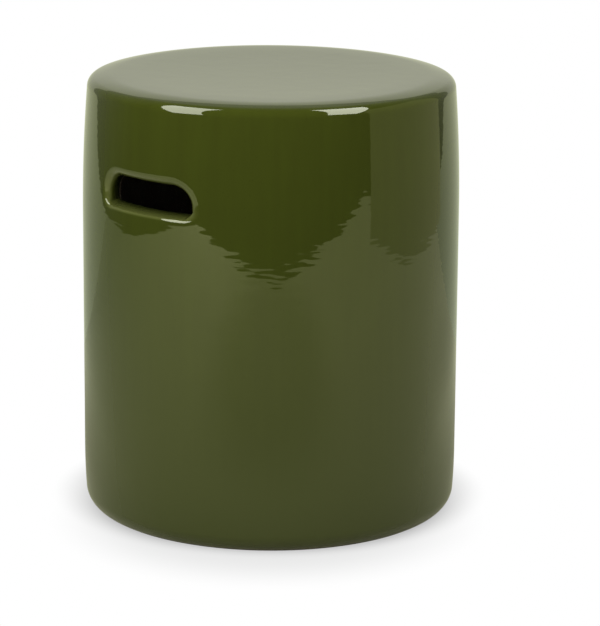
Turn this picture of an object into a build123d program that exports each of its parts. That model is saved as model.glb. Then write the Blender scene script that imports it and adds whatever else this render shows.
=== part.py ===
from build123d import *

import math
import os

# Glazed ceramic drum stool. Three clay members are luted together before firing: a dished seat slab,
# a drum wall and a foot ring. Coils of clay back their joints, and a thick coil let into the wall round
# each hand hole forms its rolled lip. One coat of glaze covers everything that shows, and four pads are
# stuck under the bare foot ring. Millimetres, +Z up, origin on the floor at the axis.

# Overall sizes, measured on the outside of the glaze
STOOL_HEIGHT = 436.0  # floor to the crest of the seat rim
DRUM_RADIUS = 185.0  # straight part of the wall

# Shoulder and seat
SHOULDER_DEPTH = 136.0  # below the rim crest, where the wall starts to draw in
SHOULDER_INSET = 6.0  # how far the bowed wall has drawn in at rim height
SHOULDER_ROUND = 10.0  # rounded corner between wall and seat
BROW_RADIUS = 80.0  # gentle curve between the rounded corner and the rim crest
BROW_SLOPE = 14.0  # degrees, where the brow meets the rounded corner
SEAT_DISH_DEPTH = 1.5
SEAT_LAND_WIDTH = 28.0  # convex land between the rim crest and the dish
SEAT_THICKNESS = 12.0

# Wall and glaze
WALL_THICKNESS = 8.2
GLAZE_THICKNESS = 0.8
GLAZE_LINE_HEIGHT = 3.5  # bare clay left above the underside of the foot

# Foot
FOOT_TUCK_HEIGHT = 58.0  # above the underside of the foot, where the wall starts to tuck in
FOOT_INSET = 2.8  # how far the tucked wall has drawn in at the underside
FOOT_ROUND = 19.5
FOOT_RING_THICKNESS = 20.0  # under the wall
FOOT_RIM_THICKNESS = 12.0  # at the opening, so that the top of the ring slopes
FOOT_RING_WIDTH = 49.0  # face of the wall to the opening in the base
FOOT_EDGE_ROUND = 3.0

# Hand holes, front and rear
HAND_HOLE_LENGTH = 103.0
HAND_HOLE_HEIGHT = 28.6
HAND_HOLE_DROP = 94.8  # rim crest to the middle of the hole
HAND_HOLE_TOP_ROUND = 19.5  # upper corners, so that the hole is an arch on a level sill
HAND_HOLE_SILL_ROUND = 6.0  # lower corners
HAND_HOLE_LIP = 9.5  # rolled outer lip
HAND_HOLE_DEPTH = 20.0  # outer face of the drum to the inner end of the hole
GLAZE_STOP = 3.0  # bare clay left at the inner end of the hole

# Coils let into the wall round the hand holes, and pressed into the corners of the luted joints
HAND_HOLE_COIL_WIDTH = 13.0
HAND_HOLE_COIL_ROUND = 2.5
SEAT_COIL_LEG = 14.0
FOOT_COIL_LEG = 12.0
COIL_HOLLOW = 1.6  # how far a thumb has hollowed the face of a corner coil
COIL_OVERRUN = 1.0  # how far the seat coil is drawn into its neighbours before they are cut from it

# Pads
PAD_RADIUS = 10.0
PAD_THICKNESS = 2.0
PAD_EDGE_ROUND = 0.5
PAD_ANGLES = {"front_right": -45, "rear_right": 45, "rear_left": 135, "front_left": 225}

# Heights and centres that follow from these sizes
foot_plane = PAD_THICKNESS
foot_seam = foot_plane + FOOT_RING_THICKNESS
foot_opening_radius = DRUM_RADIUS - FOOT_RING_WIDTH
tuck_start = foot_plane + FOOT_TUCK_HEIGHT
shoulder_start = STOOL_HEIGHT - SHOULDER_DEPTH
seat_seam = STOOL_HEIGHT - GLAZE_THICKNESS - SEAT_THICKNESS
hand_hole_height = STOOL_HEIGHT - HAND_HOLE_DROP
inner_radius = DRUM_RADIUS - GLAZE_THICKNESS - WALL_THICKNESS
hand_hole_end = DRUM_RADIUS - HAND_HOLE_DEPTH
beyond = 2 * (DRUM_RADIUS + STOOL_HEIGHT)  # reach of cutting solids, clear of everything

# The bowed shoulder is an arc that leaves the wall upright, and the tucked foot is another
bow_radius = (SHOULDER_DEPTH**2 + SHOULDER_INSET**2) / (2 * SHOULDER_INSET)
bow_centre = (DRUM_RADIUS - bow_radius, shoulder_start)
inner_bow_radius = bow_radius - GLAZE_THICKNESS - WALL_THICKNESS
tuck_radius = (FOOT_TUCK_HEIGHT**2 + FOOT_INSET**2) / (2 * FOOT_INSET)
tuck_centre = (DRUM_RADIUS - tuck_radius, tuck_start)

# The shoulder round touches the bow from inside, and the brow goes on from it to the level rim crest
brow_slope = math.radians(BROW_SLOPE)
brow_offset = BROW_RADIUS - SHOULDER_ROUND  # between the centres of the brow and the round
round_height = STOOL_HEIGHT - BROW_RADIUS + brow_offset * math.cos(brow_slope)
round_rise = round_height - shoulder_start
round_reach = math.sqrt((bow_radius - SHOULDER_ROUND) ** 2 - round_rise**2)
round_centre = (bow_centre[0] + round_reach, round_height)
bow_angle = math.degrees(math.atan2(round_rise, round_reach))
crest_radius = round_centre[0] - brow_offset * math.sin(brow_slope)
brow_centre = (crest_radius, STOOL_HEIGHT - BROW_RADIUS)

# The seat falls from the crest by a convex land and a concave dish that share one slope
dish_slope = 2 * math.atan(SEAT_DISH_DEPTH / crest_radius)
dish_angle = math.degrees(dish_slope)
land_radius = SEAT_LAND_WIDTH / math.sin(dish_slope)
land_centre = (crest_radius, STOOL_HEIGHT - land_radius)
dish_radius = (crest_radius - SEAT_LAND_WIDTH) / math.sin(dish_slope)
dish_centre = (0, STOOL_HEIGHT - SEAT_DISH_DEPTH + dish_radius)


def foot_round_centre(inset):
    """Centre of the foot round that touches the tucked wall and the underside of the foot."""
    height = foot_plane + FOOT_ROUND - inset
    reach = math.sqrt((tuck_radius - FOOT_ROUND) ** 2 - (tuck_start - height) ** 2)
    return (tuck_centre[0] + reach, height)


def half_section(inset):
    """Half section of the whole drum as if it were solid, drawn in by an inset from the glaze."""
    foot_x, foot_z = foot_round_centre(inset)
    tuck_angle = math.degrees(math.atan2(tuck_start - foot_z, foot_x - tuck_centre[0]))
    side = DRUM_RADIUS - inset
    seat_middle = (0, dish_centre[1] - dish_radius - inset)
    outline = [
        Line((0, foot_plane), (foot_x, foot_plane)),
        CenterArc((foot_x, foot_z), FOOT_ROUND - inset, -90, 90 - tuck_angle),
        CenterArc(tuck_centre, tuck_radius - inset, -tuck_angle, tuck_angle),
        Line((side, tuck_start), (side, shoulder_start)),
        CenterArc(bow_centre, bow_radius - inset, 0, bow_angle),
        CenterArc(round_centre, SHOULDER_ROUND - inset, bow_angle, 90 - BROW_SLOPE - bow_angle),
        CenterArc(brow_centre, BROW_RADIUS - inset, 90 - BROW_SLOPE, BROW_SLOPE),
        CenterArc(land_centre, land_radius - inset, 90, dish_angle),
        CenterArc(dish_centre, dish_radius + inset, 270 + dish_angle, -dish_angle),
        Line(seat_middle, (0, foot_plane)),
    ]
    return make_face(outline)


def under_seat_section():
    """Everything below the underside of the seat slab, which follows the dish of the seat."""
    depth = GLAZE_THICKNESS + SEAT_THICKNESS
    middle = (0, dish_centre[1] - dish_radius - depth)
    outline = [
        CenterArc(dish_centre, dish_radius + depth, 270, dish_angle),
        CenterArc(land_centre, land_radius - depth, 90 + dish_angle, -dish_angle),
        Polyline((crest_radius, seat_seam), (beyond, seat_seam), (beyond, -beyond), (0, -beyond), middle),
    ]
    return make_face(outline)


def cavity_section():
    """Everything inside the inner face of the wall, from the foot seam up past the seat."""
    top_angle = math.degrees(math.asin(SHOULDER_DEPTH / inner_bow_radius))
    bow = CenterArc(bow_centre, inner_bow_radius, 0, top_angle)
    outline = [
        Line((inner_radius, foot_seam), (inner_radius, shoulder_start)),
        bow,
        Polyline(bow @ 1, (0, STOOL_HEIGHT), (0, foot_seam), (inner_radius, foot_seam)),
    ]
    return make_face(outline)


def above_foot_section():
    """Everything above the seam between the wall and the foot ring."""
    return Pos(beyond / 2, foot_seam + beyond / 2) * Rectangle(beyond, beyond)


def foot_ring_section():
    """Foot ring with a level underside, a sloping top and an open middle."""
    rim_top = foot_plane + FOOT_RIM_THICKNESS
    corners = [
        (foot_opening_radius, foot_plane),
        (beyond, foot_plane),
        (beyond, foot_seam),
        (inner_radius, foot_seam),
        (foot_opening_radius, rim_top),
    ]
    return make_face(Polyline(*corners, close=True))


def coil_section(corner, foot_of_face, top_of_face):
    """Wedge of a pressed coil in an inside corner, with its face hollowed towards the corner."""
    corner, foot_of_face, top_of_face = Vector(*corner), Vector(*foot_of_face), Vector(*top_of_face)
    flat_middle = (foot_of_face + top_of_face) / 2
    middle = flat_middle + (corner - flat_middle).normalized() * COIL_HOLLOW
    face = ThreePointArc(foot_of_face, middle, top_of_face)
    return make_face([Line(corner, foot_of_face), face, Line(top_of_face, corner)])


def turned(section):
    """Solid of revolution of a half section about the axis of the drum."""
    return revolve(Plane.XZ * section, Axis.Z)


def hand_hole_tool(margin):
    """Rod through the whole drum with the outline of the hand holes, grown by a margin."""
    outline = Rectangle(HAND_HOLE_LENGTH + 2 * margin, HAND_HOLE_HEIGHT + 2 * margin)
    outline = fillet(outline.vertices().group_by(Axis.Y)[-1], HAND_HOLE_TOP_ROUND + margin)
    outline = fillet(outline.vertices().group_by(Axis.Y)[0], HAND_HOLE_SILL_ROUND + margin)
    return extrude(Plane.XZ * (Pos(0, hand_hole_height) * outline), beyond, both=True)


def with_hand_holes(body, inset):
    """Cut both hand holes through a solid drum and roll their outer lips.

    The inset is the glaze that is still to come, so it widens the hole and tightens the lip.
    """
    holed = body - hand_hole_tool(inset)
    rims = [edge for edge in holed.edges() if abs(edge.center().Y) > hand_hole_end / 2]
    return fillet(rims, HAND_HOLE_LIP - inset)


def build_foot_ring(clay_section):
    """Foot ring with the rounded outer corner of the drum and eased edges at the opening."""
    ring = turned(clay_section & foot_ring_section())
    circles = ring.edges().filter_by(GeomType.CIRCLE).sort_by(lambda edge: edge.radius)
    return fillet(circles[:2], FOOT_EDGE_ROUND)


def build_hand_hole_lips(fired_clay, lip_reach):
    """Coils that go through the wall round the hand holes and form their lips, the front one first."""
    core = Cylinder(hand_hole_end, 2 * beyond)
    lips = (fired_clay & lip_reach) - core
    return [ease_inner_end(lip) for lip in lips.solids().sort_by(Axis.Y)]


def ease_inner_end(lip):
    """Round the edges of a hand-hole lip that face the inside of the drum."""
    tolerance = 0.01
    ends = [
        edge
        for edge in lip.edges()
        if abs(math.hypot(edge.center().X, edge.center().Y) - hand_hole_end) < tolerance
    ]
    return lip.fillet(HAND_HOLE_COIL_ROUND, ends)


def build_seat_coil(seat_section, wall_band):
    """Coil under the seat, pressed against the slab and the inner face of the wall."""
    rise = seat_seam - shoulder_start
    corner_radius = bow_centre[0] + math.sqrt(inner_bow_radius**2 - rise**2)
    corner = (corner_radius + COIL_OVERRUN, seat_seam + COIL_OVERRUN)
    foot_of_face = (corner[0], seat_seam - SEAT_COIL_LEG)
    top_of_face = (corner_radius - SEAT_COIL_LEG, corner[1])
    return turned(coil_section(corner, foot_of_face, top_of_face) - seat_section - wall_band)


def build_foot_coil():
    """Coil on the sloping top of the foot ring, pressed against the foot of the wall."""
    slope = (FOOT_RING_THICKNESS - FOOT_RIM_THICKNESS) / (inner_radius - foot_opening_radius)
    corner = (inner_radius, foot_seam)
    foot_of_face = (inner_radius - FOOT_COIL_LEG, foot_seam - slope * FOOT_COIL_LEG)
    top_of_face = (inner_radius, foot_seam + FOOT_COIL_LEG)
    return turned(coil_section(corner, foot_of_face, top_of_face))


def build_glaze(fired_clay):
    """Thin glassy coat over the seat, wall and hand-hole lips, bare at the foot and inside."""
    on_floor = (Align.CENTER, Align.CENTER, Align.MIN)
    glazed = with_hand_holes(turned(half_section(0)), 0)
    inside = Cylinder(hand_hole_end + GLAZE_STOP, seat_seam, align=on_floor)
    bare_foot = Cylinder(beyond, foot_plane + GLAZE_LINE_HEIGHT, align=on_floor)
    return glazed - fired_clay - inside - bare_foot


def build_pad(angle):
    """Round stick-on pad in the middle of the flat of the foot ring."""
    flat_outer = foot_round_centre(GLAZE_THICKNESS)[0]
    flat_inner = foot_opening_radius + FOOT_EDGE_ROUND
    ring = (flat_outer + flat_inner) / 2
    disc = Cylinder(PAD_RADIUS, PAD_THICKNESS, align=(Align.CENTER, Align.CENTER, Align.MIN))
    disc = fillet(disc.edges().group_by(Axis.Z)[0], PAD_EDGE_ROUND)
    return Rot(0, 0, angle) * Pos(ring, 0, 0) * disc


clay_section = half_section(GLAZE_THICKNESS)
seat_section = clay_section - under_seat_section()
wall_band = (under_seat_section() & above_foot_section()) - cavity_section()
fired_clay = with_hand_holes(turned(clay_section), GLAZE_THICKNESS)
lip_reach = hand_hole_tool(GLAZE_THICKNESS + HAND_HOLE_COIL_WIDTH)
front_lip, rear_lip = build_hand_hole_lips(fired_clay, lip_reach)

parts = {
    "seat_slab": turned(seat_section),
    "side_wall": (fired_clay & turned(wall_band)) - lip_reach,
    "foot_ring": build_foot_ring(clay_section),
    "seat_coil": build_seat_coil(seat_section, wall_band),
    "foot_coil": build_foot_coil(),
    "hand_hole_lip_front": front_lip,
    "hand_hole_lip_rear": rear_lip,
    "glaze_coat": build_glaze(fired_clay),
}
for place, angle in PAD_ANGLES.items():
    parts[f"foot_pad_{place}"] = build_pad(angle)

os.makedirs("parts", exist_ok=True)
for node, shape in parts.items():
    export_step(shape, f"parts/{node}.step")
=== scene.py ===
"""Glazed ceramic drum stool with a dished seat and two rolled hand holes, in a paper-sweep studio."""
import logging
import math
from dataclasses import dataclass
from enum import Enum
from typing import Any

import bmesh
import bpy
from bmesh.types import BMEdge, BMesh, BMVert
from bpy.types import Material, Node, NodeSocket, NodeTree, Object
from mathutils import Matrix, Vector, noise


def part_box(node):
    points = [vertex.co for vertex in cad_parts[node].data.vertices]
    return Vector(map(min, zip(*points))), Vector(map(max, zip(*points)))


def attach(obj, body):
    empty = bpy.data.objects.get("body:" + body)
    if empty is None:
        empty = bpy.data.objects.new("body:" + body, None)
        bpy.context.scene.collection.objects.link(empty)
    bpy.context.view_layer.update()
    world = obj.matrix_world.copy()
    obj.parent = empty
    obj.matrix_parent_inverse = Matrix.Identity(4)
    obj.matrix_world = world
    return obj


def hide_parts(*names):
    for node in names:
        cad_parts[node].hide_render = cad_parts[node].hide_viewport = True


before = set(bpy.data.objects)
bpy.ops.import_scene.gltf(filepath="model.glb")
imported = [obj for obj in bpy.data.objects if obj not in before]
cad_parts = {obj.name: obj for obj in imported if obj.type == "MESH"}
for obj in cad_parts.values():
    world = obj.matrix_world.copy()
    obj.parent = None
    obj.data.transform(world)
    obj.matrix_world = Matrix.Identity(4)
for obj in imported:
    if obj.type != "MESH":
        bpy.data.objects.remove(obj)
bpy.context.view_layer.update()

MM = 0.001
SAME_PLACE = 0.001 * MM
BODY = "root"
WHITE = "#ffffff"
BLACK = "#000000"
log = logging.getLogger("drum_stool")


def linear(hex_colour: str) -> tuple[float, float, float, float]:
    """Turn an sRGB hex colour into linear RGBA.

    Args:
        hex_colour: Colour such as "#384014".

    Returns:
        Linear red, green and blue, and an alpha of 1.
    """
    channels = [int(hex_colour[at : at + 2], 16) / 255 for at in (1, 3, 5)]
    red, green, blue = (c / 12.92 if c <= 0.04045 else ((c + 0.055) / 1.055) ** 2.4 for c in channels)
    return red, green, blue, 1.0


def per_metre(*sizes_mm: float) -> tuple[float, ...]:
    """Turn feature sizes in millimetres into scales for Object coordinates."""
    return tuple(1000 / size for size in sizes_mm)


def add_node(tree: NodeTree, kind: str, inputs: dict[Any, Any] | None = None, **settings: Any) -> Node:
    """Add a node with its settings, values and links.

    Args:
        tree: Node tree of a material or world.
        kind: Node type, such as "ShaderNodeTexNoise".
        inputs: Socket name or index, with a value or an output socket to link.
        **settings: Properties of the node itself.

    Returns:
        The new node.
    """
    node = tree.nodes.new(kind)
    for name, value in settings.items():
        setattr(node, name, value)
    for socket, value in (inputs or {}).items():
        if isinstance(value, NodeSocket):
            tree.links.new(value, node.inputs[socket])
        else:
            node.inputs[socket].default_value = value
    return node


def empty_material(name: str) -> Material:
    """Make a node material with nothing in its tree."""
    material = bpy.data.materials.new(name)
    material.use_nodes = True
    material.node_tree.nodes.clear()
    return material


def set_material(piece: Object, material: Material) -> None:
    """Give a piece one material in place of those it has."""
    piece.data.materials.clear()
    piece.data.materials.append(material)


def extrude(bm: BMesh, edges: list[BMEdge]) -> tuple[list[BMVert], list[BMEdge]]:
    """Extrude edges without moving them yet.

    Args:
        bm: Mesh that holds the edges.
        edges: Edges to extrude.

    Returns:
        New vertices, and the new edges between them.
    """
    grown = bmesh.ops.extrude_edge_only(bm, edges=edges)["geom"]
    verts = [item for item in grown if isinstance(item, BMVert)]
    return verts, [item for item in grown if isinstance(item, BMEdge)]


def mesh_object(name: str, bm: BMesh) -> Object:
    """Turn a bmesh into an object at the origin with smooth faces.

    Args:
        name: Name of the piece.
        bm: Finished mesh, which is freed.

    Returns:
        The linked object.
    """
    mesh = bpy.data.meshes.new(name)
    for face in bm.faces:
        face.smooth = True
    bm.to_mesh(mesh)
    bm.free()
    piece = bpy.data.objects.new(name, mesh)
    bpy.context.scene.collection.objects.link(piece)
    return piece


@dataclass(frozen=True)
class Specks:
    """Small round spots scattered over a surface.

    Attributes:
        colour: Colour of the spots.
        spacing_mm: Usual distance between two spots.
        edge: Distance from the middle of a spot at which it starts, as a share of the spacing.
        core: Distance within which it is full, likewise.
        cover: How much of the colour below a full spot hides.
    """

    colour: str
    spacing_mm: float
    edge: float
    core: float
    cover: float

    def scatter(self, tree: NodeTree, place: NodeSocket, below: NodeSocket) -> NodeSocket:
        """Add nodes that scatter the spots over a colour.

        Args:
            tree: Node tree of a material.
            place: Output with the Object coordinates.
            below: Output with the colour below the spots.

        Returns:
            Output with the spotted colour.
        """
        cells = add_node(
            tree, "ShaderNodeTexVoronoi", {"Vector": place, "Scale": per_metre(self.spacing_mm)[0]}
        )
        share = add_node(
            tree,
            "ShaderNodeMapRange",
            {
                "Value": cells.outputs["Distance"],
                "From Min": self.edge,
                "From Max": self.core,
                "To Max": self.cover,
            },
        )
        return add_node(
            tree,
            "ShaderNodeMix",
            {"Factor": share.outputs[0], "A": below, "B": linear(self.colour)},
            data_type="RGBA",
        ).outputs["Result"]


@dataclass(frozen=True)
class OliveGlaze:
    """Iron-bearing stoneware glaze, sprayed and fired to a full gloss.

    To the eye it is deep olive glass: a dark even body colour with painted shade that darkens it
    towards the foot, mirror-like reflections that break up on fine horizontal ripples, a paler line
    where the glaze ran thinly over an edge with painted light added on the lips and on the sills near
    the mouth, painted shade deep inside the holes, and a few iron specks.
    """

    body: str = "#424a14"
    pooled: str = "#3f4613"
    # Colour of painted shade that darkens the wall towards the foot.
    painted_foot_shade: str = "#323910"
    # Paler colour of glaze run thinly over the lips, also laid on as painted light on the lips and on the
    # sills near the mouth.
    thin_glaze_and_painted_light: str = "#5c6230"
    # Colour of painted shade deep inside the hand holes.
    painted_hole_shade: str = "#12140a"
    reflection: str = "#fafde4"
    specks: Specks = Specks("#221c0c", spacing_mm=5.5, edge=0.11, core=0.05, cover=0.35)
    roughness: float = 0.025
    ior: float = 1.5
    # Heights of the painted shade towards the foot: none at the upper one, full at the lower one.
    foot_shade_from: float = 430 * MM
    foot_shade_to: float = 10 * MM
    mottle_mm: float = 70
    streak_mm: tuple[float, float, float] = (9, 9, 160)
    pooled_until: float = 0.75
    body_from: float = 1.25
    ripple_mm: tuple[float, float, float] = (24, 24, 7)
    ripple_height: float = 0.075 * MM
    peel_mm: float = 7
    peel_height: float = 0.003 * MM

    def colour(self, tree: NodeTree, place: NodeSocket) -> NodeSocket:
        """Add nodes that lay the colours of the glaze over each other.

        Args:
            tree: Node tree of the material.
            place: Output with the Object coordinates.

        Returns:
            Output with the colour.
        """
        mottle = add_node(
            tree,
            "ShaderNodeTexNoise",
            {"Vector": place, "Scale": per_metre(self.mottle_mm)[0], "Detail": 3.0, "Roughness": 0.55},
        )
        runs = add_node(tree, "ShaderNodeMapping", {"Vector": place, "Scale": per_metre(*self.streak_mm)})
        streak = add_node(
            tree, "ShaderNodeTexNoise", {"Vector": runs.outputs[0], "Scale": 1.0, "Detail": 2.0}
        )
        depth = add_node(
            tree, "ShaderNodeMath", {0: mottle.outputs["Fac"], 1: streak.outputs["Fac"]}, operation="ADD"
        )
        body = add_node(
            tree,
            "ShaderNodeMapRange",
            {"Value": depth.outputs[0], "From Min": self.pooled_until, "From Max": self.body_from},
        )
        height = add_node(tree, "ShaderNodeSeparateXYZ", {"Vector": place})
        # Painted shade: the glaze gets darker towards the foot.
        painted_foot_shade = add_node(
            tree,
            "ShaderNodeMapRange",
            {"Value": height.outputs["Z"], "From Min": self.foot_shade_from, "From Max": self.foot_shade_to},
        )
        thin_glaze_and_painted_light = add_node(tree, "ShaderNodeAttribute", attribute_name="thin_glaze_and_painted_light")
        painted_hole_shade = add_node(tree, "ShaderNodeAttribute", attribute_name="painted_hole_shade")
        layers = (
            (body.outputs[0], self.body),
            (painted_foot_shade.outputs[0], self.painted_foot_shade),
            (thin_glaze_and_painted_light.outputs["Fac"], self.thin_glaze_and_painted_light),
            (painted_hole_shade.outputs["Fac"], self.painted_hole_shade),
        )
        colour: Any = linear(self.pooled)
        for share, tint in layers:
            colour = add_node(
                tree, "ShaderNodeMix", {"Factor": share, "A": colour, "B": linear(tint)}, data_type="RGBA"
            ).outputs["Result"]
        return self.specks.scatter(tree, place, colour)

    def relief(self, tree: NodeTree, place: NodeSocket) -> NodeSocket:
        """Add nodes that ripple and pucker the surface.

        Args:
            tree: Node tree of the material.
            place: Output with the Object coordinates.

        Returns:
            Output with the normal.
        """
        bands = add_node(tree, "ShaderNodeMapping", {"Vector": place, "Scale": per_metre(*self.ripple_mm)})
        ripple = add_node(
            tree, "ShaderNodeTexNoise", {"Vector": bands.outputs[0], "Scale": 1.0, "Detail": 1.0}
        )
        ripples = add_node(
            tree,
            "ShaderNodeBump",
            {"Height": ripple.outputs["Fac"], "Strength": 1.0, "Distance": self.ripple_height},
        )
        peel = add_node(
            tree,
            "ShaderNodeTexNoise",
            {"Vector": place, "Scale": per_metre(self.peel_mm)[0], "Detail": 1.0},
        )
        return add_node(
            tree,
            "ShaderNodeBump",
            {
                "Height": peel.outputs["Fac"],
                "Strength": 1.0,
                "Distance": self.peel_height,
                "Normal": ripples.outputs[0],
            },
        ).outputs[0]

    def material(self) -> Material:
        """Make the glaze material.

        Returns:
            Material that reads Object coordinates and the point attributes "thin" and "scant".
        """
        material = empty_material("olive_gloss_glaze")
        tree = material.node_tree
        place = add_node(tree, "ShaderNodeTexCoord").outputs["Object"]
        shader = add_node(
            tree,
            "ShaderNodeBsdfPrincipled",
            {
                "Base Color": self.colour(tree, place),
                "Roughness": self.roughness,
                "IOR": self.ior,
                "Specular Tint": linear(self.reflection),
                "Normal": self.relief(tree, place),
            },
        )
        add_node(tree, "ShaderNodeOutputMaterial", {"Surface": shader.outputs[0]})
        return material


@dataclass(frozen=True)
class BareStoneware:
    """Dark stoneware fired without glaze.

    To the eye it is a dry brown-grey with fine grog grains, small pores and uneven toasting.
    """

    body: str = "#5d5142"
    toasted: str = "#4a3d2f"
    grog: Specks = Specks("#8a7d68", spacing_mm=2.6, edge=0.28, core=0.16, cover=0.7)
    pores: Specks = Specks("#241d16", spacing_mm=4.5, edge=0.14, core=0.08, cover=0.8)
    roughness: float = 0.85
    ior: float = 1.5
    toast_mm: float = 45
    toasted_until: float = 0.35
    body_from: float = 0.65
    grain_mm: float = 1.1
    grain_height: float = 0.25 * MM

    def material(self) -> Material:
        """Make the bare clay material."""
        material = empty_material("bare_stoneware")
        tree = material.node_tree
        place = add_node(tree, "ShaderNodeTexCoord").outputs["Object"]
        toast = add_node(
            tree,
            "ShaderNodeTexNoise",
            {"Vector": place, "Scale": per_metre(self.toast_mm)[0], "Detail": 4.0},
        )
        shade = add_node(
            tree,
            "ShaderNodeMapRange",
            {"Value": toast.outputs["Fac"], "From Min": self.toasted_until, "From Max": self.body_from},
        )
        colour = add_node(
            tree,
            "ShaderNodeMix",
            {"Factor": shade.outputs[0], "A": linear(self.toasted), "B": linear(self.body)},
            data_type="RGBA",
        ).outputs["Result"]
        for specks in (self.grog, self.pores):
            colour = specks.scatter(tree, place, colour)
        grain = add_node(
            tree,
            "ShaderNodeTexNoise",
            {"Vector": place, "Scale": per_metre(self.grain_mm)[0], "Detail": 3.0},
        )
        rough = add_node(
            tree,
            "ShaderNodeBump",
            {"Height": grain.outputs["Fac"], "Strength": 0.6, "Distance": self.grain_height},
        )
        shader = add_node(
            tree,
            "ShaderNodeBsdfPrincipled",
            {
                "Base Color": colour,
                "Roughness": self.roughness,
                "IOR": self.ior,
                "Normal": rough.outputs[0],
            },
        )
        add_node(tree, "ShaderNodeOutputMaterial", {"Surface": shader.outputs[0]})
        return material


@dataclass(frozen=True)
class PadRubber:
    """Moulded synthetic rubber.

    To the eye it is matt black with a fine pebbled skin and a little floor dust.
    """

    body: str = "#2b2b2a"
    dust: str = "#55524c"
    roughness: float = 0.7
    ior: float = 1.52
    dust_mm: float = 6
    dust_from: float = 0.45
    dust_full: float = 0.75
    dust_cover: float = 0.5
    pebble_mm: float = 0.8
    pebble_height: float = 0.08 * MM

    def material(self) -> Material:
        """Make the pad material."""
        material = empty_material("moulded_rubber")
        tree = material.node_tree
        place = add_node(tree, "ShaderNodeTexCoord").outputs["Object"]
        dust = add_node(
            tree,
            "ShaderNodeTexNoise",
            {"Vector": place, "Scale": per_metre(self.dust_mm)[0], "Detail": 4.0},
        )
        veil = add_node(
            tree,
            "ShaderNodeMapRange",
            {
                "Value": dust.outputs["Fac"],
                "From Min": self.dust_from,
                "From Max": self.dust_full,
                "To Max": self.dust_cover,
            },
        )
        colour = add_node(
            tree,
            "ShaderNodeMix",
            {"Factor": veil.outputs[0], "A": linear(self.body), "B": linear(self.dust)},
            data_type="RGBA",
        )
        pebbles = add_node(
            tree, "ShaderNodeTexVoronoi", {"Vector": place, "Scale": per_metre(self.pebble_mm)[0]}
        )
        skin = add_node(
            tree,
            "ShaderNodeBump",
            {"Height": pebbles.outputs["Distance"], "Strength": 0.5, "Distance": self.pebble_height},
        )
        shader = add_node(
            tree,
            "ShaderNodeBsdfPrincipled",
            {
                "Base Color": colour.outputs["Result"],
                "Roughness": self.roughness,
                "IOR": self.ior,
                "Normal": skin.outputs[0],
            },
        )
        add_node(tree, "ShaderNodeOutputMaterial", {"Surface": shader.outputs[0]})
        return material


@dataclass(frozen=True)
class Stroke:
    """One arc or straight run of a turned outline.

    Attributes:
        steps: Number of edges in the stroke.
        pivot: Centre of an arc in the XZ plane.
        turn: Angle of an arc in radians, clockwise from +Z to +X.
        drop: Length of a straight run downwards.
    """

    steps: int
    pivot: tuple[float, float] = (0.0, 0.0)
    turn: float = 0.0
    drop: float = 0.0


@dataclass(frozen=True)
class DrumProfile:
    """Outline of the outside of the glaze, in metres.

    The seat is a shallow dish, a land that rises from it to the highest ring, a brow that falls from
    that ring, and a tight rounded rim. The wall is bowed in at the shoulder and tucked in at the foot,
    and the glaze ends at a line above the foot plane, which is the underside of the foot ring.
    """

    height: float
    radius: float
    foot_plane: float
    shoulder_depth: float = 136 * MM
    shoulder_inset: float = 6 * MM
    shoulder_round: float = 10 * MM
    brow_radius: float = 80 * MM
    brow_slope: float = math.radians(14)
    dish_depth: float = 1.5 * MM
    land_width: float = 28 * MM
    tuck_height: float = 58 * MM
    foot_inset: float = 2.8 * MM
    foot_round: float = 19.5 * MM
    glaze_line: float = 3.5 * MM

    @property
    def shoulder_start(self) -> float:
        """Height at which the wall starts to draw in."""
        return self.height - self.shoulder_depth

    @property
    def bow_radius(self) -> float:
        """Radius of the bowed shoulder in the outline."""
        return (self.shoulder_depth**2 + self.shoulder_inset**2) / (2 * self.shoulder_inset)

    def bow_reach(self, height: float, inset: float = 0.0) -> float:
        """Distance of the bowed shoulder from the axis, at a height, drawn in by an inset."""
        rise = height - self.shoulder_start
        return self.radius - self.bow_radius + math.sqrt((self.bow_radius - inset) ** 2 - rise**2)

    def bow_lean(self, height: float, inset: float = 0.0) -> float:
        """Angle by which the bowed shoulder faces upwards at a height, in radians."""
        return math.asin((height - self.shoulder_start) / (self.bow_radius - inset))

    def strokes(self) -> list[Stroke]:
        """List the strokes of the outline from the middle of the seat down to the glaze line."""
        brow_offset = self.brow_radius - self.shoulder_round
        round_z = self.height - self.brow_radius + brow_offset * math.cos(self.brow_slope)
        round_x = self.bow_reach(round_z, self.shoulder_round)
        round_lean = self.bow_lean(round_z, self.shoulder_round)
        crest = round_x - brow_offset * math.sin(self.brow_slope)
        slope = 2 * math.atan(self.dish_depth / crest)
        dish_radius = (crest - self.land_width) / math.sin(slope)
        land_radius = self.land_width / math.sin(slope)
        tuck_start = self.foot_plane + self.tuck_height
        tuck_radius = (self.tuck_height**2 + self.foot_inset**2) / (2 * self.foot_inset)
        tuck_pivot = self.radius - tuck_radius
        foot_z = self.foot_plane + self.foot_round
        tuck_turn = math.asin((tuck_start - foot_z) / (tuck_radius - self.foot_round))
        foot_x = tuck_pivot + (tuck_radius - self.foot_round) * math.cos(tuck_turn)
        foot_turn = math.asin(1 - self.glaze_line / self.foot_round) - tuck_turn
        return [
            Stroke(18, (0, self.height - self.dish_depth + dish_radius), -slope),
            Stroke(7, (crest, self.height - land_radius), slope),
            Stroke(8, (crest, self.height - self.brow_radius), self.brow_slope),
            Stroke(12, (round_x, round_z), math.pi / 2 - self.brow_slope - round_lean),
            Stroke(31, (self.radius - self.bow_radius, self.shoulder_start), round_lean),
            Stroke(48, drop=self.shoulder_start - tuck_start),
            Stroke(10, (tuck_pivot, tuck_start), tuck_turn),
            Stroke(12, (foot_x, foot_z), foot_turn),
        ]


class Side(Enum):
    """Which way a hand hole faces along Y."""

    FRONT = -1
    REAR = 1


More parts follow.
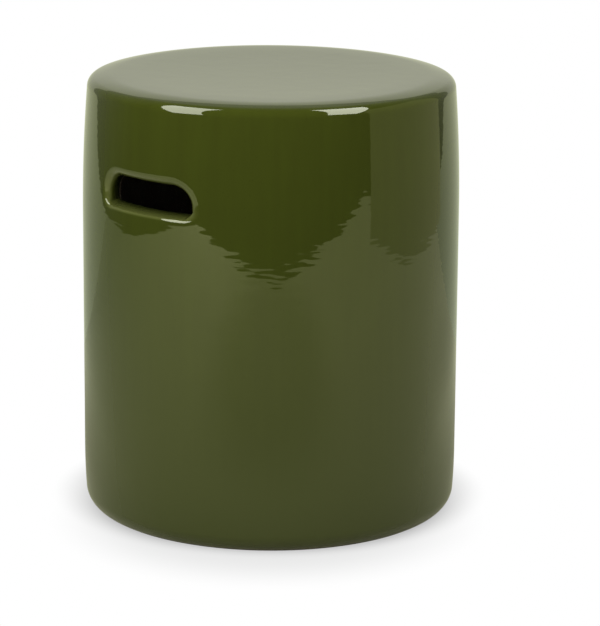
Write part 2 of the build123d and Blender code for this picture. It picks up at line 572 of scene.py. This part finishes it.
@dataclass(frozen=True)
class HandHole:
    """Arched hand hole on a level sill, with its outer lip rolled into the drum, in metres.

    Attributes:
        profile: Outline that the lip leaves.
        side: Way that the hole faces.
        middle: Height of the middle of the hole.
        tunnel_end: Distance from the axis at which the glaze stops in the hole.
        lips: Radius of the lip towards +X, +Z, -X and -Z.
        sill_fall: How far the sill lies below the outline at the lip.
        sill_slope: How steeply the sill rises from the lip into the drum.
        thin_bias: How far towards the hole the glaze is thinnest on the lip.
        hole_shade_bias: How late the painted shade darkens the hole, where 1 is an even rise.
        sill_hole_shade_bias: The same along the sill, where the painted shade starts later.
        least_tunnel: Least depth of the glaze behind the lip.
        window_turn: Half the angle of the block of the drum that is remade round the hole.
        window_rise: Half the height of that block.
        apron_rings: Rings of faces between the edge of that block and the lip.
    """

    profile: DrumProfile
    side: Side
    middle: float
    tunnel_end: float = 168 * MM
    length: float = 103 * MM
    height: float = 28.6 * MM
    top_round: float = 19.5 * MM
    sill_round: float = 6 * MM
    lips: tuple[float, float, float, float] = (9.5 * MM, 9.5 * MM, 6 * MM, 3.5 * MM)
    sill_fall: float = 1.7 * MM
    sill_slope: float = math.radians(12)
    thin_bias: float = 1.6
    hole_shade_bias: float = 0.5
    sill_hole_shade_bias: float = 2
    least_tunnel: float = 0.5 * MM
    window_turn: float = math.radians(22.5)
    window_rise: float = 33 * MM
    apron_rings: int = 5
    lip_rings: int = 12
    tunnel_rings: int = 4

    def around(self, point: Vector) -> float:
        """Angle of a point about the drum axis, from the middle of the hole."""
        return math.atan2(point.x, self.side.value * point.y)

    def on_drum(self, turn: float, height: float) -> Vector:
        """Point on the outside of the bowed shoulder at an angle and height."""
        reach = self.profile.bow_reach(height)
        return Vector((reach * math.sin(turn), self.side.value * reach * math.cos(turn), height))

    def open_window(self, bm: BMesh) -> list[BMEdge]:
        """Take out the block of faces round the hole.

        Args:
            bm: Turned drum.

        Returns:
            Edges round the window.
        """
        block = set()
        for face in bm.faces:
            at = face.calc_center_median()
            if abs(self.around(at)) < self.window_turn and abs(at.z - self.middle) < self.window_rise:
                block.add(face)
        rim = [edge for edge in bm.edges if sum(face in block for face in edge.link_faces) == 1]
        bmesh.ops.delete(bm, geom=list(block), context="FACES")
        return rim

    def nearest(self, flat: Vector) -> tuple[Vector, Vector]:
        """Find the point of the hole's outline nearest to a point outside it.

        Args:
            flat: Point in the plane of the outline, from the middle of the hole.

        Returns:
            Point of the outline, and the direction out of the hole there.
        """
        half, rise = self.length / 2, self.height / 2
        across, up = math.copysign(1, flat.x), math.copysign(1, flat.y)
        for level, radius in ((1, self.top_round), (-1, self.sill_round)):
            centre = Vector((across * (half - radius), level * (rise - radius)))
            arm = flat - centre
            if arm.x * across > 0 and arm.y * level > 0:
                return centre + arm.normalized() * radius, arm.normalized()
        if self.sill_round - rise < flat.y < rise - self.top_round:
            return Vector((across * half, flat.y)), Vector((across, 0))
        return Vector((flat.x, up * rise)), Vector((0, up))

    def lip(self, out: Vector) -> float:
        """Radius of the lip where the outline faces a direction."""
        shares = (max(out.x, 0), max(out.y, 0), max(-out.x, 0), max(-out.y, 0))
        return sum(radius * share**2 for radius, share in zip(self.lips, shares))

    def ball(self, point: Vector) -> tuple[float, Vector, Vector, Vector]:
        """Find the ball that rolls the lip nearest to a point of the window.

        Args:
            point: Point on the rim of the window.

        Returns:
            Radius and centre of the ball, and the directions from it to the drum and into the hole.
        """
        flat = Vector((self.around(point) * self.profile.radius, point.z - self.middle))
        edge, out = self.nearest(flat)
        lip = self.lip(out)
        sill = max(-out.y, 0) ** 2
        slope = self.sill_slope * sill
        at = edge + out * (lip + self.sill_fall * sill)
        height = at.y + self.middle
        reach = self.profile.bow_reach(height, lip)
        lean = self.profile.bow_lean(height, lip)
        centre = Vector((at.x, self.side.value * math.sqrt(reach**2 - at.x**2), height))
        radial = Vector((centre.x, centre.y, 0)) / reach
        to_drum = radial * math.cos(lean) + Vector((0, 0, math.sin(lean)))
        level = math.cos(slope)
        to_hole = Vector((-out.x * level, self.side.value * math.sin(slope), -out.y * level))
        return lip, centre, to_drum, to_hole

    def path(self, start: Vector) -> list[tuple[Vector, float, float]]:
        """Trace one thread of the surface from the window over the lip into the hole.

        Args:
            start: Point on the rim of the window.

        Returns:
            Points of the thread after the start, each with its share of thinned glaze and painted light,
            and its share of painted shade.
        """
        lip, centre, to_drum, to_hole = self.ball(start)
        touch = centre + to_drum * lip
        sill = max(to_hole.z, 0) ** 2
        points = []
        for ring in range(1, self.apron_rings + 1):
            share = ring / self.apron_rings
            turn = self.around(start) * (1 - share) + self.around(touch) * share
            points.append((self.on_drum(turn, start.z * (1 - share) + touch.z * share), 0.0, 0.0))
        for ring in range(1, self.lip_rings + 1):
            share = ring / self.lip_rings
            # Thinned glaze over the lip, plus painted light on the sill near the mouth.
            thin_glaze_and_painted_light = max(math.sin(math.pi * share**self.thin_bias), sill * share)
            points.append((centre + to_drum.slerp(to_hole, share) * lip, thin_glaze_and_painted_light, 0.0))
        edge = centre + to_hole * lip
        stop = min(math.sqrt(self.tunnel_end**2 - edge.x**2), abs(edge.y) - self.least_tunnel)
        climb = to_hole.y * self.side.value / math.hypot(to_hole.x, to_hole.z)
        # Along the sill the painted shade starts later in the hole.
        bias = self.sill_hole_shade_bias if sill > 0.5 else self.hole_shade_bias
        for ring in range(1, self.tunnel_rings + 1):
            share = ring / self.tunnel_rings
            depth = edge.y * (1 - share) + self.side.value * stop * share
            rise = abs(edge.y - depth) * climb
            # Into the hole the painted light on the sill fades out and the painted shade deepens.
            points.append((Vector((edge.x, depth, edge.z + rise)), sill * (1 - share), share**bias))
        return points

    def roll(self, bm: BMesh, thin_glaze_and_painted_light: Any, painted_hole_shade: Any) -> None:
        """Open the hole in the turned drum and roll its lip.

        Args:
            bm: Turned drum.
            thin_glaze_and_painted_light: Point layer for glaze that ran thinly over the lip, and for
                painted light on the lip and at the mouth of the sill.
            painted_hole_shade: Point layer for painted shade inside the hole.
        """
        rim = self.open_window(bm)
        threads = {vert: self.path(vert.co) for edge in rim for vert in edge.verts}
        for ring in range(self.apron_rings + self.lip_rings + self.tunnel_rings):
            fresh, rim = extrude(bm, rim)
            passed_on = {}
            for vert in fresh:
                beside = (edge.other_vert(vert) for edge in vert.link_edges)
                thread = next(threads[old] for old in beside if old in threads)
                vert.co, vert[thin_glaze_and_painted_light], vert[painted_hole_shade] = thread[ring]
                passed_on[vert] = thread
            threads = passed_on


@dataclass(frozen=True)
class GlazedShell:
    """Coat of glaze over the seat, wall and hand-hole lips, as a closed shell in metres.

    Attributes:
        columns: Columns of faces round the drum.
        sway: How far the surface wanders in and out.
        sway_mm: Size of a swell of the surface along X, Y and Z.
        sway_inset: How far inside the outline the surface lies on the whole, in sways.
        crease: Angle from which an edge is shaded sharp.
    """

    profile: DrumProfile
    holes: tuple[HandHole, ...]
    finish: OliveGlaze
    columns: int = 288
    thickness: float = 0.8 * MM
    sway: float = 0.05 * MM
    sway_mm: tuple[float, float, float] = (120, 120, 45)
    sway_inset: float = 1.9
    crease: float = math.radians(40)

    def turn_drum(self, bm: BMesh) -> None:
        """Draw the outline stroke by stroke and spin it into a drum."""
        pen = [bm.verts.new((0, 0, self.profile.height - self.profile.dish_depth))]
        for stroke in self.profile.strokes():
            spun = bmesh.ops.spin(
                bm,
                geom=pen,
                cent=(stroke.pivot[0], 0, stroke.pivot[1]),
                axis=(0, 1, 0),
                angle=stroke.turn,
                dvec=(0, 0, -stroke.drop / stroke.steps),
                steps=stroke.steps,
            )
            pen = [item for item in spun["geom_last"] if isinstance(item, BMVert)]
        bmesh.ops.spin(
            bm,
            geom=bm.verts[:] + bm.edges[:],
            cent=(0, 0, 0),
            axis=(0, 0, 1),
            angle=2 * math.pi,
            steps=self.columns,
            use_merge=True,
        )
        bmesh.ops.remove_doubles(bm, verts=bm.verts[:], dist=SAME_PLACE)

    def sway_surface(self, bm: BMesh) -> None:
        """Press the surface in and out a little, as on clay that was drawn up by hand."""
        scale = per_metre(*self.sway_mm)
        bm.normal_update()
        normals = [vert.normal.copy() for vert in bm.verts]
        for vert, normal in zip(bm.verts, normals):
            wave = noise.noise([place * size for place, size in zip(vert.co, scale)])
            vert.co -= normal * self.sway * (self.sway_inset + wave)

    def build(self) -> Object:
        """Model the coat of glaze.

        Returns:
            Piece that stands for the CAD coat.
        """
        bm = bmesh.new()
        for layer in ("thin_glaze_and_painted_light", "painted_hole_shade"):
            bm.verts.layers.float.new(layer)
        self.turn_drum(bm)
        for hole in self.holes:
            hole.roll(bm, bm.verts.layers.float["thin_glaze_and_painted_light"], bm.verts.layers.float["painted_hole_shade"])
        bmesh.ops.remove_doubles(bm, verts=bm.verts[:], dist=SAME_PLACE)
        bmesh.ops.recalc_face_normals(bm, faces=bm.faces[:])
        self.sway_surface(bm)
        bmesh.ops.solidify(bm, geom=bm.faces[:], thickness=self.thickness)
        for edge in bm.edges:
            edge.smooth = edge.calc_face_angle(0.0) < self.crease
        piece = mesh_object("glaze_coat_fired", bm)
        set_material(piece, self.finish.material())
        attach(piece, BODY)
        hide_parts("glaze_coat")
        return piece


@dataclass(frozen=True)
class KeptPieces:
    """Pieces that keep the shape the CAD gave them, and only get a finish."""

    nodes: tuple[str, ...]
    finish: BareStoneware | PadRubber

    def dress(self) -> None:
        """Give every piece the finish."""
        material = self.finish.material()
        for node in self.nodes:
            set_material(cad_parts[node], material)
            log.info("dressed %s", node)


class ClayBody(KeptPieces):
    """Luted clay members under the glaze."""


class FootPads(KeptPieces):
    """Stick-on pads under the foot ring."""


@dataclass(frozen=True)
class PhotoCamera:
    """Camera fitted to the outline in the photograph, in metres and radians.

    Attributes:
        turn: How far the camera stands round the drum from the front hand hole.
        distance: Level distance from the axis of the drum.
        height: Height of the lens above the floor.
        pitch: How far it looks down.
        yaw: How far it looks to the right of the axis.
        roll: How far it is turned about its line of sight.
        focal_px: Focal length in pixels of the photograph.
        long_side_px: Longer side of the photograph in pixels.
        sensor_mm: Width of the sensor in millimetres.
    """

    turn: float = math.radians(41.8)
    distance: float = 3.1386
    height: float = 0.9998
    pitch: float = 0.2512
    yaw: float = 0.00933
    roll: float = 0.00769
    focal_px: float = 3262.98
    long_side_px: float = 626
    sensor_mm: float = 36

    @property
    def studio_turn(self) -> Matrix:
        """Turn from the studio's frame, with the camera on -Y, to the frame of the stool."""
        return Matrix.Rotation(self.turn, 4, "Z")

    def place(self) -> None:
        """Make the camera and set it as the scene's."""
        level = Vector((math.sin(self.yaw), math.cos(self.yaw), 0))
        right = Vector((math.cos(self.yaw), -math.sin(self.yaw), 0))
        ahead = level * math.cos(self.pitch) - Vector((0, 0, math.sin(self.pitch)))
        up = level * math.sin(self.pitch) + Vector((0, 0, math.cos(self.pitch)))
        across = right * math.cos(self.roll) + up * math.sin(self.roll)
        upright = up * math.cos(self.roll) - right * math.sin(self.roll)
        turned = Matrix((across, upright, -ahead)).transposed().to_4x4()
        stand = Matrix.Translation((0, -self.distance, self.height))
        data = bpy.data.cameras.new("photo_camera")
        data.sensor_width = self.sensor_mm
        data.lens = self.focal_px * self.sensor_mm / self.long_side_px
        camera = bpy.data.objects.new("photo_camera", data)
        camera.matrix_world = self.studio_turn @ stand @ turned
        bpy.context.scene.collection.objects.link(camera)
        bpy.context.scene.camera = camera


class Seen(Enum):
    """Which rays see a stage piece or a lamp."""

    IN_GLOSS = "gloss"
    NOT_IN_GLOSS = "plain"


@dataclass(frozen=True)
class SoftBox:
    """Soft box that lights the stool or shows as a highlight in the glaze, in metres and degrees.

    Attributes:
        name: Name of the lamp.
        azimuth: Direction from the axis, from the camera towards the right.
        elevation: Direction above the rim of the seat.
        lean: How far the top of the box leans to its left.
        width: Width of the box.
        height: Height of the box.
        watts: Power of the lamp.
        distance: Distance from the point that the box faces.
        seen: Which rays see the box.
    """

    name: str
    azimuth: float
    elevation: float
    lean: float
    width: float
    height: float
    watts: float
    distance: float = 1.5
    seen: Seen = Seen.IN_GLOSS

    def place(self, studio_turn: Matrix, aim: Vector) -> None:
        """Hang the box and aim it.

        Args:
            studio_turn: Turn from the studio's frame to the frame of the stool.
            aim: Point that the box faces.
        """
        turn, rise, lean = (math.radians(angle) for angle in (self.azimuth, self.elevation, self.lean))
        level = math.cos(rise)
        away = Vector((level * math.sin(turn), -level * math.cos(turn), math.sin(rise)))
        data = bpy.data.lights.new(self.name, "AREA")
        data.shape = "RECTANGLE"
        data.size, data.size_y = self.width, self.height
        data.energy = self.watts
        lamp = bpy.data.objects.new(self.name, data)
        stand = Matrix.Translation(aim + away * self.distance)
        facing = away.to_track_quat("Z", "Y").to_matrix().to_4x4()
        lamp.matrix_world = studio_turn @ stand @ facing @ Matrix.Rotation(lean, 4, "Z")
        lamp.visible_camera = False
        lamp.visible_glossy = self.seen is not Seen.NOT_IN_GLOSS
        lamp.visible_diffuse = self.seen is not Seen.IN_GLOSS
        bpy.context.scene.collection.objects.link(lamp)


@dataclass(frozen=True)
class FloorShadow:
    """One soft patch of shadow on the floor, with the camera on -Y, in metres.

    Attributes:
        centre: Middle of the patch.
        near: Distance from it at which the shadow starts to fade.
        far: Distance at which it has faded out.
        depth: Share of the light that it takes away.
    """

    centre: tuple[float, float, float]
    near: float
    far: float
    depth: float


@dataclass(frozen=True)
class Studio:
    """Paper sweep in a dark room with soft boxes, laid out with the camera on -Y, in metres.

    The camera sees a white floor with the shadow of the stool. What the glaze mirrors is a set of its
    own, which only glossy rays see: a paper floor, a bright sweep behind it, a panel at the right and
    the room.

    Attributes:
        studio_turn: Turn from the studio's frame to the frame of the stool.
        rim_height: Height of the point that the soft boxes face.
        paper_left: Left edge of the paper floor and of the sweep.
        paper_right: Right edge of the paper floor.
        back_right: Right edge of the sweep.
        sweep_start: Where the paper floor ends and the sweep curves up.
        paper_lift: Height of the paper floor above the white floor.
        room_drop: How far the floor of the room lies below the white floor.
        floor_colour: Colour of the white floor in the shadow.
        floor_bounce: Colour of the light that it throws back.
        paper_fade: How far behind the stool each colour of the paper floor is reached.
        paper_fade_turn: How far that direction is turned to the left.
        sweep_fade: Height at which each colour of the sweep is reached.
        room_glow: Brightness of the room level with the stool and at its back wall.
        fill: Strength of the soft light from all round.
    """

    studio_turn: Matrix
    rim_height: float
    floor_half: float = 9.0
    paper_left: float = -1.45
    paper_right: float = 1.9
    back_right: float = 1.62
    paper_front: float = -1.31
    sweep_start: float = 0.6
    sweep_radius: float = 1.4
    sweep_steps: int = 24
    paper_top: float = 1.6
    paper_lift: float = 0.2 * MM
    room_radius: float = 5.0
    room_height: float = 4.0
    room_drop: float = 2 * MM
    room_segments: int = 64
    panel_place: float = 1.31
    panel_near: float = -0.8
    panel_far: float = 0.72
    panel_height: float = 1.6
    floor_colour: str = "#959593"
    floor_bounce: str = "#646462"
    shadows: tuple[FloorShadow, ...] = (
        FloorShadow(centre=(-0.002, -0.06, 0.0), near=0.125, far=0.222, depth=0.23),
        FloorShadow(centre=(0.0, 0.036, 0.0), near=0.168, far=0.223, depth=0.43),
    )
    # The paper floor's colours grow darker behind the stool as painted shade.
    paper_colours: tuple[str, str, str] = ("#ffffd4", "#e8e9c4", "#b4b99e")
    paper_fade: tuple[float, float, float] = (-0.84, 0.05, 0.75)
    paper_fade_turn: float = math.radians(20)
    paper_shadows: tuple[FloorShadow, ...] = (
        FloorShadow(centre=(0.0, 0.25, 0.0), near=0.2, far=0.48, depth=0.47),
        FloorShadow(centre=(0.0, -0.9, 0.0), near=0.25, far=0.65, depth=0.31),
        FloorShadow(centre=(0.6, 0.45, 0.0), near=0.05, far=0.35, depth=0.18),
    )
    sweep_colours: tuple[str, str, str] = ("#c9d0b2", "#e2e6c4", "#e4e4d7")
    sweep_fade: tuple[float, float, float] = (0.0, 0.2, 0.8)
    room_glow: tuple[float, float] = (0.05, 0.33)
    panel_glow: float = 0.56
    panel_colour: str = "#ffffcb"
    fill: float = 0.97

    def behind(self, tree: NodeTree, turn: float = 0.0) -> NodeSocket:
        """Add nodes that measure how far a point lies behind the stool.

        Args:
            tree: Node tree of a material.
            turn: How far the direction is turned to the left, in radians.

        Returns:
            Output with the distance.
        """
        place = add_node(tree, "ShaderNodeTexCoord").outputs["Object"]
        back = self.studio_turn @ Vector((-math.sin(turn), math.cos(turn), 0))
        return add_node(
            tree, "ShaderNodeVectorMath", {0: place, 1: back}, operation="DOT_PRODUCT"
        ).outputs["Value"]

    def shade(self, tree: NodeTree, shadow: FloorShadow) -> NodeSocket:
        """Add nodes that give the share of the light that a shadow takes away.

        Args:
            tree: Node tree of a material.
            shadow: Patch of shadow.

        Returns:
            Output with the share.
        """
        place = add_node(tree, "ShaderNodeTexCoord").outputs["Object"]
        centre = self.studio_turn @ Vector(shadow.centre)
        away = add_node(tree, "ShaderNodeVectorMath", {0: place, 1: centre}, operation="DISTANCE")
        return add_node(
            tree,
            "ShaderNodeMapRange",
            {
                "Value": away.outputs["Value"],
                "From Min": shadow.near,
                "From Max": shadow.far,
                "To Min": shadow.depth,
                "To Max": 0.0,
            },
            interpolation_type="SMOOTHSTEP",
        ).outputs[0]

    def fade(
        self, tree: NodeTree, value: NodeSocket, places: tuple[float, ...], colours: tuple[str, ...]
    ) -> NodeSocket:
        """Add nodes that fade from colour to colour.

        Args:
            tree: Node tree of a material.
            value: Measure to fade by.
            places: Values at which the colours are reached, in rising order.
            colours: Colour at each of them.

        Returns:
            Output with the faded colour.
        """
        faded: Any = linear(colours[0])
        for near, far, colour in zip(places, places[1:], colours[1:]):
            share = add_node(
                tree, "ShaderNodeMapRange", {"Value": value, "From Min": near, "From Max": far}
            )
            faded = add_node(
                tree,
                "ShaderNodeMix",
                {"Factor": share.outputs[0], "A": faded, "B": linear(colour)},
                data_type="RGBA",
            ).outputs["Result"]
        return faded

    def light_up(self, material: Material, colour: Any, strength: Any) -> Material:
        """Make a material give off light of its own.

        Args:
            material: Material that has no surface yet.
            colour: Linear colour, or an output with it.
            strength: Brightness, or an output with it.

        Returns:
            The same material.
        """
        tree = material.node_tree
        light = add_node(tree, "ShaderNodeEmission", {"Color": colour, "Strength": strength})
        add_node(tree, "ShaderNodeOutputMaterial", {"Surface": light.outputs[0]})
        return material

    def bright_paper(self) -> Material:
        """Make the sweep, glowing with painted light that is brighter and whiter further up."""
        material = empty_material("bright_paper")
        tree = material.node_tree
        place = add_node(tree, "ShaderNodeTexCoord").outputs["Object"]
        height = add_node(tree, "ShaderNodeSeparateXYZ", {"Vector": place}).outputs["Z"]
        return self.light_up(material, self.fade(tree, height, self.sweep_fade, self.sweep_colours), 1.0)

    def dark_wall(self) -> Material:
        """Make the dark room's wall and ceiling, glowing with painted light, more behind the stool."""
        material = empty_material("dark_wall")
        tree = material.node_tree
        glow = add_node(
            tree,
            "ShaderNodeMapRange",
            {
                "Value": self.behind(tree),
                "From Max": self.room_radius,
                "To Min": self.room_glow[0],
                "To Max": self.room_glow[1],
            },
        )
        return self.light_up(material, linear(WHITE), glow.outputs[0])

    def floor_paper(self) -> Material:
        """Make the matt paper floor, with painted shade behind the stool and painted shadows on it."""
        material = empty_material("mirrored_paper")
        tree = material.node_tree
        back = self.behind(tree, self.paper_fade_turn)
        colour = self.fade(tree, back, self.paper_fade, self.paper_colours)
        for shadow in self.paper_shadows:
            colour = add_node(
                tree,
                "ShaderNodeMix",
                {"Factor": self.shade(tree, shadow), "A": colour, "B": linear(BLACK)},
                data_type="RGBA",
            ).outputs["Result"]
        paper = add_node(tree, "ShaderNodeBsdfDiffuse", {"Color": colour})
        add_node(tree, "ShaderNodeOutputMaterial", {"Surface": paper.outputs[0]})
        return material

    def white_floor(self) -> Material:
        """Make the floor, a matt paper that the camera sees as white outside the shadow of the stool."""
        material = empty_material("floor_paper")
        tree = material.node_tree
        seen = add_node(tree, "ShaderNodeLightPath").outputs["Is Camera Ray"]
        share = seen
        for shadow in self.shadows:
            share = add_node(
                tree,
                "ShaderNodeMath",
                {0: share, 1: self.shade(tree, shadow)},
                operation="SUBTRACT",
                use_clamp=True,
            ).outputs[0]
        colour = add_node(
            tree,
            "ShaderNodeMix",
            {"Factor": seen, "A": linear(self.floor_bounce), "B": linear(self.floor_colour)},
            data_type="RGBA",
        )
        paper = add_node(tree, "ShaderNodeBsdfDiffuse", {"Color": colour.outputs["Result"]})
        white = add_node(tree, "ShaderNodeEmission", {"Color": linear(WHITE), "Strength": 1.0})
        both = add_node(tree, "ShaderNodeMixShader", {0: share, 1: paper.outputs[0], 2: white.outputs[0]})
        add_node(tree, "ShaderNodeOutputMaterial", {"Surface": both.outputs[0]})
        return material

    def set_up(self, name: str, bm: BMesh, material: Material, seen: Seen) -> None:
        """Turn a stage mesh into place and choose which rays see it.

        Args:
            name: Name of the stage piece.
            bm: Its mesh in the studio's frame, which is freed.
            material: Its surface.
            seen: Which rays see it.
        """
        bmesh.ops.transform(bm, matrix=self.studio_turn, verts=bm.verts[:])
        piece = mesh_object(name, bm)
        set_material(piece, material)
        if seen is Seen.NOT_IN_GLOSS:
            piece.visible_glossy = False
        if seen is Seen.IN_GLOSS:
            piece.visible_camera = False
            piece.visible_diffuse = False
            piece.visible_shadow = False
            piece.visible_transmission = False
        log.info("set up %s", name)

    def run(self, bm: BMesh, edges: list[BMEdge], move: tuple[float, float, float]) -> None:
        """Extrude edges into a flat sheet."""
        bmesh.ops.translate(bm, vec=move, verts=extrude(bm, edges)[0])

    def paper_edge(self, bm: BMesh, right: float, y: float) -> BMEdge:
        """Draw the level edge that a sheet of paper starts from."""
        return bm.edges.new([bm.verts.new((x, y, self.paper_lift)) for x in (self.paper_left, right)])

    def lay_floor(self) -> None:
        """Lay the white floor that the camera sees."""
        bm = bmesh.new()
        bmesh.ops.create_grid(bm, x_segments=1, y_segments=1, size=self.floor_half)
        self.set_up("studio_floor", bm, self.white_floor(), Seen.NOT_IN_GLOSS)

    def lay_paper(self) -> None:
        """Lay the paper floor that the glaze mirrors."""
        bm = bmesh.new()
        edge = self.paper_edge(bm, self.paper_right, self.paper_front)
        self.run(bm, [edge], (0, self.sweep_start - self.paper_front, 0))
        bmesh.ops.recalc_face_normals(bm, faces=bm.faces[:])
        self.set_up("paper_floor", bm, self.floor_paper(), Seen.IN_GLOSS)

    def hang_sweep(self) -> None:
        """Hang the bright sweep, which curves up from the back of the paper floor."""
        bm = bmesh.new()
        edge = self.paper_edge(bm, self.back_right, self.sweep_start)
        bent = bmesh.ops.spin(
            bm,
            geom=[*edge.verts, edge],
            cent=(0, self.sweep_start, self.paper_lift + self.sweep_radius),
            axis=(1, 0, 0),
            angle=math.pi / 2,
            steps=self.sweep_steps,
        )["geom_last"]
        top = [item for item in bent if isinstance(item, BMEdge)]
        self.run(bm, top, (0, 0, self.paper_top - self.sweep_radius))
        bmesh.ops.recalc_face_normals(bm, faces=bm.faces[:])
        self.set_up("paper_back", bm, self.bright_paper(), Seen.IN_GLOSS)

    def darken_room(self) -> None:
        """Close the room round the paper with a dark wall, floor and ceiling that only gloss shows."""
        bm = bmesh.new()
        bmesh.ops.create_cone(
            bm,
            cap_ends=True,
            segments=self.room_segments,
            radius1=self.room_radius,
            radius2=self.room_radius,
            depth=self.room_height,
            matrix=Matrix.Translation((0, 0, self.room_height / 2 - self.room_drop)),
        )
        bmesh.ops.reverse_faces(bm, faces=bm.faces[:])
        self.set_up("dark_room", bm, self.dark_wall(), Seen.IN_GLOSS)

    def stand_panel(self) -> None:
        """Stand the half-bright panel at the right."""
        bm = bmesh.new()
        ends = [bm.verts.new((self.panel_place, y, 0)) for y in (self.panel_near, self.panel_far)]
        self.run(bm, [bm.edges.new(ends)], (0, 0, self.panel_height))
        tint = linear(self.panel_colour)
        surface = self.light_up(empty_material("grey_panel"), tint, self.panel_glow)
        self.set_up("side_panel", bm, surface, Seen.IN_GLOSS)

    def fill_world(self) -> None:
        """Fill the room with soft light, and show plain white wherever the stage ends."""
        world = bpy.data.worlds.new("studio_world")
        bpy.context.scene.world = world
        world.use_nodes = True
        tree = world.node_tree
        tree.nodes.clear()
        path = add_node(tree, "ShaderNodeLightPath")
        seen = path.outputs["Is Camera Ray"]
        for ray in ("Is Glossy Ray", "Is Transmission Ray"):
            seen = add_node(
                tree, "ShaderNodeMath", {0: seen, 1: path.outputs[ray]}, operation="MAXIMUM"
            ).outputs[0]
        strength = add_node(tree, "ShaderNodeMapRange", {"Value": seen, "To Min": self.fill, "To Max": 1.0})
        sky = add_node(
            tree, "ShaderNodeBackground", {"Color": linear(WHITE), "Strength": strength.outputs[0]}
        )
        add_node(tree, "ShaderNodeOutputWorld", {"Surface": sky.outputs[0]})

    def light(self) -> None:
        """Hang the two soft boxes that the glaze mirrors, and the lamp that lights the left."""
        aim = Vector((0, 0, self.rim_height))
        boxes = (
            SoftBox(
                "left_soft_box", azimuth=-63.8, elevation=39.6, lean=25, width=0.63, height=1.93, watts=34
            ),
            SoftBox(
                "right_soft_box", azimuth=60.4, elevation=49.4, lean=-32, width=0.55, height=1.77, watts=31
            ),
            SoftBox(
                "left_key",
                azimuth=-35,
                elevation=15,
                lean=0,
                width=1.0,
                height=1.0,
                watts=22,
                distance=2.5,
                seen=Seen.NOT_IN_GLOSS,
            ),
        )
        for box in boxes:
            box.place(self.studio_turn, aim)
            log.info("hung %s", box.name)

    def build(self) -> None:
        """Set up the whole studio."""
        bpy.context.scene.view_settings.view_transform = "Standard"
        self.lay_floor()
        self.lay_paper()
        self.hang_sweep()
        self.darken_room()
        self.stand_panel()
        self.fill_world()
        self.light()


def main() -> None:
    """Build the stool and its studio round the frame."""
    logging.basicConfig(level=logging.INFO, format="%(name)s: %(message)s")
    glaze_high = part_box("glaze_coat")[1]
    lip_low, lip_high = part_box("hand_hole_lip_front")
    profile = DrumProfile(glaze_high.z, glaze_high.x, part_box("foot_ring")[0].z)
    holes = tuple(HandHole(profile, side, (lip_low.z + lip_high.z) / 2) for side in Side)
    shell = GlazedShell(profile, holes, OliveGlaze()).build()
    log.info("built %s with %d faces", shell.name, len(shell.data.polygons))
    pads = tuple(sorted(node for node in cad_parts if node.startswith("foot_pad")))
    clay = tuple(sorted(set(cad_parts) - set(pads) - {"glaze_coat"}))
    ClayBody(clay, BareStoneware()).dress()
    FootPads(pads, PadRubber()).dress()
    camera = PhotoCamera()
    camera.place()
    Studio(camera.studio_turn, profile.height).build()


if __name__ == "__main__":
    main()
